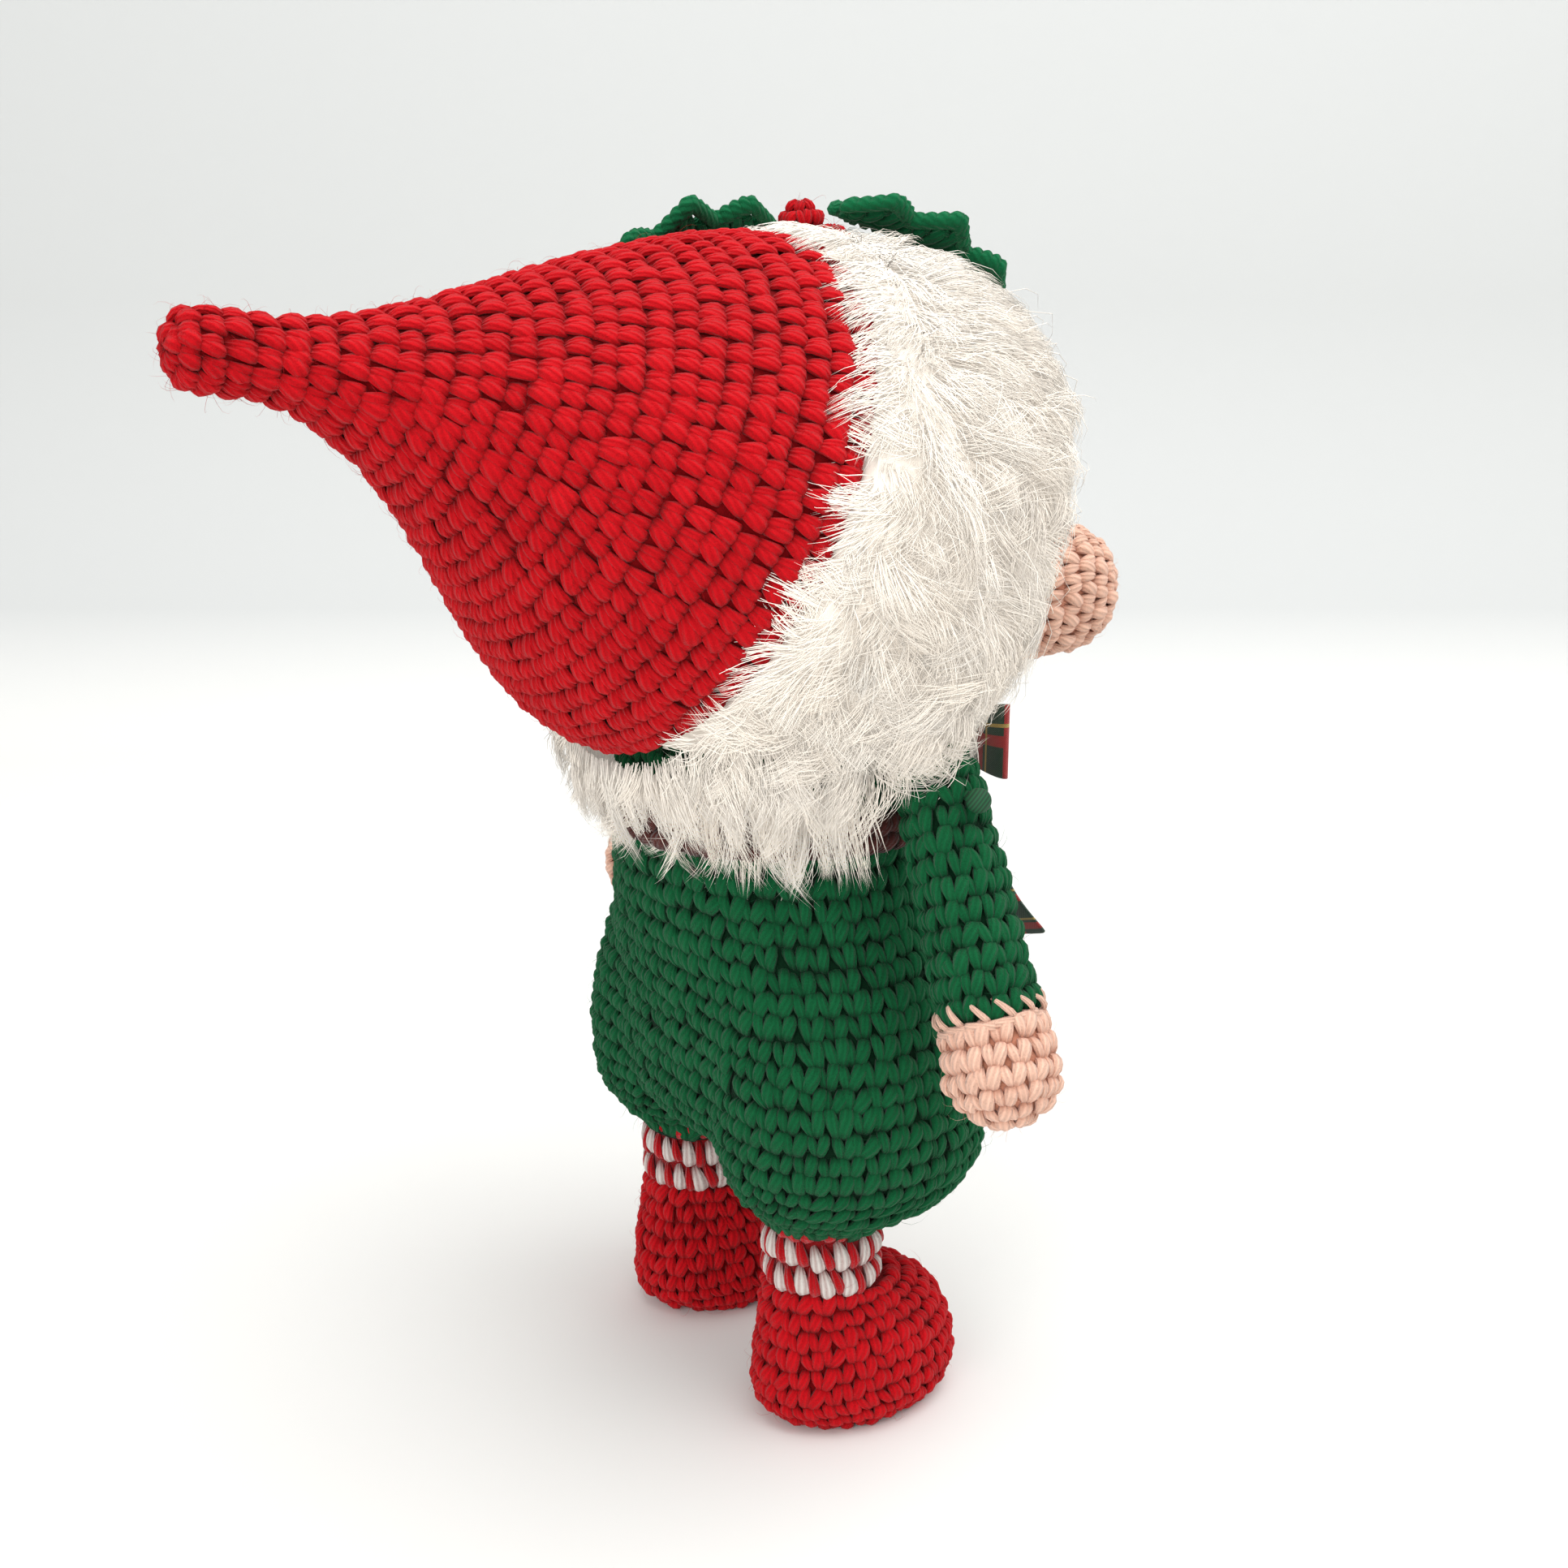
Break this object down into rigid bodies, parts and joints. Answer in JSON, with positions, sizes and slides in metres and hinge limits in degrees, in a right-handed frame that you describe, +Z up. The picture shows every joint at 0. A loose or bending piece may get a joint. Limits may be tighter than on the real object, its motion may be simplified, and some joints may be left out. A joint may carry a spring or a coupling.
{
  "type": "crocheted gnome figurine",
  "caption": "Standing crocheted gnome doll with a pointed hat that tips back, a thick fur trim and beard, a round nose, a pear-shaped body, jointed arms and flat shoes.",
  "frame": {"origin": "on the floor, under the middle of the doll's bounding box", "axes": "+Z up; the doll faces -Y, its right hand is at -X"},
  "size_m": [0.1012, 0.1292, 0.1565],
  "materials": {
    "red_cotton": "crocheted cotton yarn, matte",
    "green_cotton": "crocheted cotton yarn, matte",
    "holly_cotton": "crocheted cotton yarn, matte",
    "peach_cotton": "crocheted cotton yarn, matte",
    "striped_cotton": "crocheted cotton yarn in red and white, matte",
    "belt_yarn": "brushed yarn band, matte",
    "white_fur": "long-pile faux fur",
    "plaid_ribbon": "woven plaid ribbon, satin",
    "fibre_filling": "loose polyester fibre",
    "insole_board": "thin stiff board",
    "thread": "waxed thread"
  },
  "bodies": {
    "doll": {"right_shoe": "red_cotton", "left_shoe": "red_cotton", "right_insole": "insole_board", "left_insole": "insole_board", "right_sock": "striped_cotton", "left_sock": "striped_cotton", "right_leg_stuffing": "fibre_filling", "left_leg_stuffing": "fibre_filling", "shorts": "green_cotton", "body_stuffing": "fibre_filling", "belt": "belt_yarn", "jacket": "green_cotton", "head": "peach_cotton", "head_stuffing": "fibre_filling", "nose": "peach_cotton", "nose_stuffing": "fibre_filling", "beard": "white_fur", "hat": "red_cotton", "hat_stuffing": "fibre_filling", "hat_trim": "white_fur", "holly_leaf_front": "holly_cotton", "holly_leaf_back": "holly_cotton", "holly_berry_1": "red_cotton", "holly_berry_2": "red_cotton", "holly_berry_3": "red_cotton", "bow_knot": "plaid_ribbon", "right_bow_loop": "plaid_ribbon", "left_bow_loop": "plaid_ribbon", "right_bow_tail": "plaid_ribbon", "left_bow_tail": "plaid_ribbon", "shoulder_thread": "thread"},
    "right_arm": {"right_sleeve": "green_cotton", "right_hand": "peach_cotton", "right_arm_stuffing": "fibre_filling"},
    "left_arm": {"left_sleeve": "green_cotton", "left_hand": "peach_cotton", "left_arm_stuffing": "fibre_filling"}
  },
  "joints": [
    {"name": "right_arm_swing", "type": "hinge", "parent": "doll", "child": "right_arm", "pos_m": [-0.028, -0.01535, 0.088], "axis": [-1, 0, 0], "range_deg": [-40, 70]},
    {"name": "left_arm_swing", "type": "hinge", "parent": "doll", "child": "left_arm", "pos_m": [0.028, -0.01535, 0.088], "axis": [-1, 0, 0], "range_deg": [-40, 70]}
  ]
}
